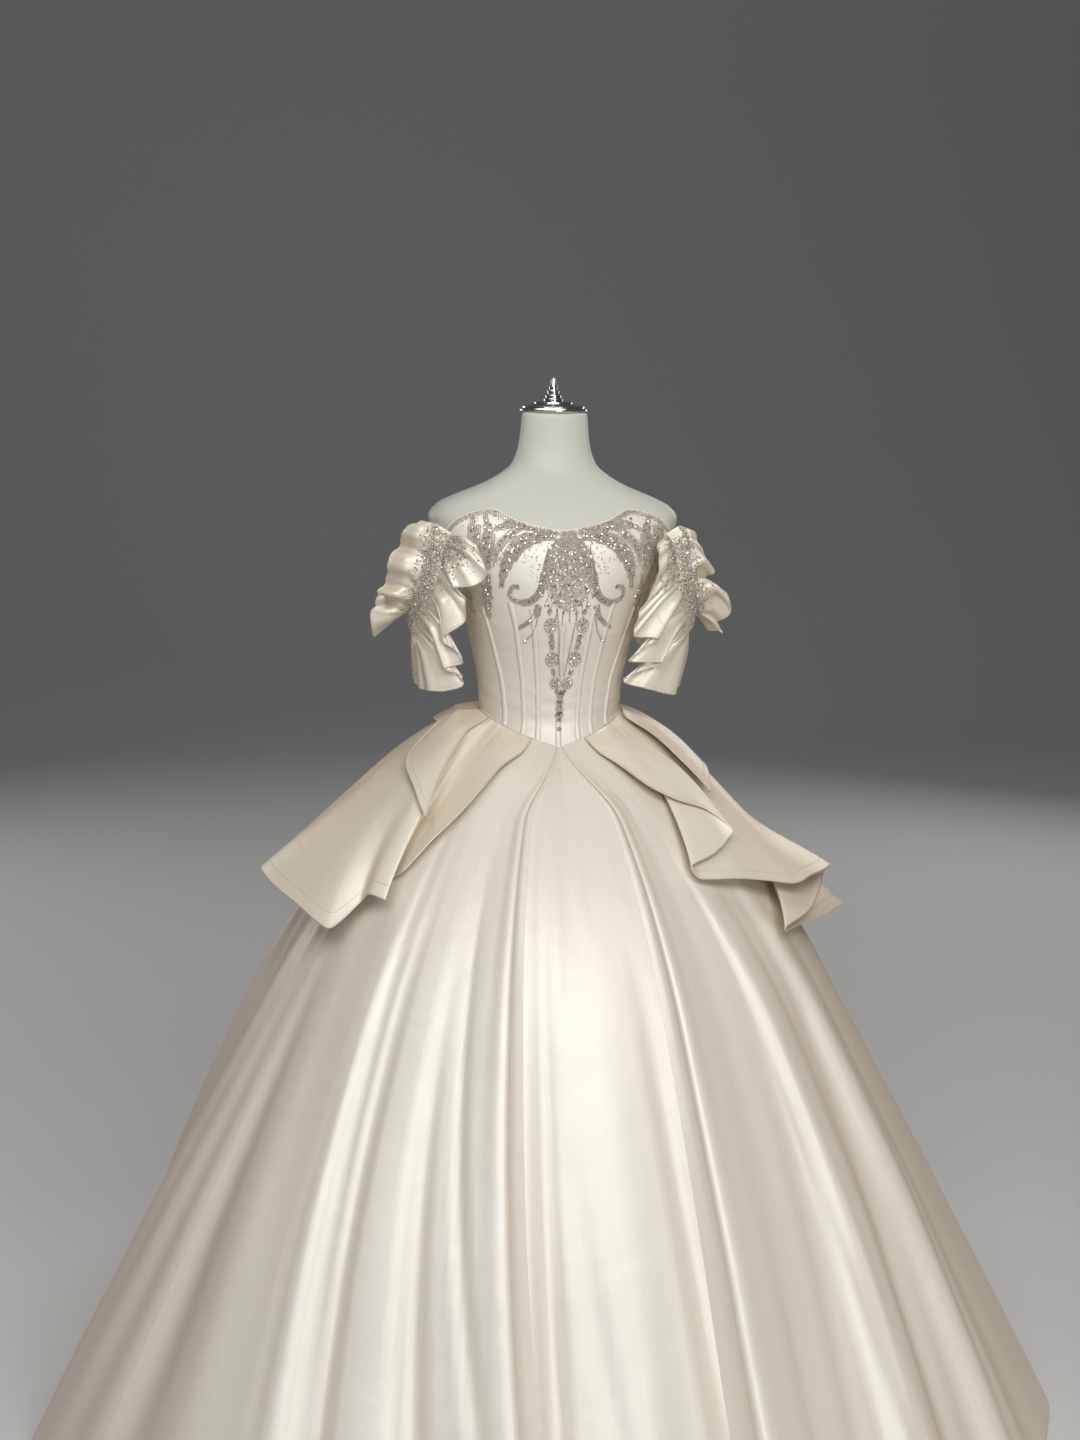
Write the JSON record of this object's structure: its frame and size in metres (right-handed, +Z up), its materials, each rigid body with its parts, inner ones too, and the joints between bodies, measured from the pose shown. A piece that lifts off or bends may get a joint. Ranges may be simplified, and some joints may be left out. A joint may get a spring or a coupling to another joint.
{
  "type": "ball gown on a dress form",
  "caption": "Full-length ball gown with pointed waist, draped peplums and off-the-shoulder ruffle sleeves, on a limbless dress form with a round base.",
  "frame": {"origin": "centre of the stand's base where it meets the floor, under the middle of the waist", "axes": "+Z up, -Y out of the front of the gown, +X to the right of a viewer who faces the front"},
  "size_m": [1.5649, 1.7126, 1.573],
  "materials": {
    "ivory_satin": "duchess satin",
    "peplum_satin": "duchess satin",
    "sleeve_satin": "duchess satin",
    "bodice_satin": "duchess satin with beaded applique",
    "form_white": "matt cloth-covered shell",
    "polished_metal": "polished",
    "stand_paint": "satin enamel"
  },
  "bodies": {
    "root": {"bodice_back_left": "bodice_satin", "bodice_back_right": "bodice_satin", "bodice_centre_front": "bodice_satin", "bodice_front_left": "bodice_satin", "bodice_front_right": "bodice_satin", "bodice_side_back_left": "bodice_satin", "bodice_side_back_right": "bodice_satin", "bodice_side_front_left": "bodice_satin", "bodice_side_front_right": "bodice_satin", "bodice_side_left": "bodice_satin", "bodice_side_right": "bodice_satin", "bodice_zip_strip": "bodice_satin", "form_finial": "polished_metal", "form_neck_cap": "polished_metal", "form_torso": "form_white", "peplum_left": "peplum_satin", "peplum_right": "peplum_satin", "peplum_tier_left": "peplum_satin", "peplum_tier_right": "peplum_satin", "skirt_back_left": "ivory_satin", "skirt_back_right": "ivory_satin", "skirt_front": "ivory_satin", "skirt_front_left": "ivory_satin", "skirt_front_right": "ivory_satin", "skirt_side_left": "ivory_satin", "skirt_side_right": "ivory_satin", "sleeve_band_left": "sleeve_satin", "sleeve_band_right": "sleeve_satin", "sleeve_inner_left": "sleeve_satin", "sleeve_inner_right": "sleeve_satin", "sleeve_outer_left": "sleeve_satin", "sleeve_outer_right": "sleeve_satin", "stand_base": "stand_paint", "stand_pole": "stand_paint"}
  },
  "joints": []
}
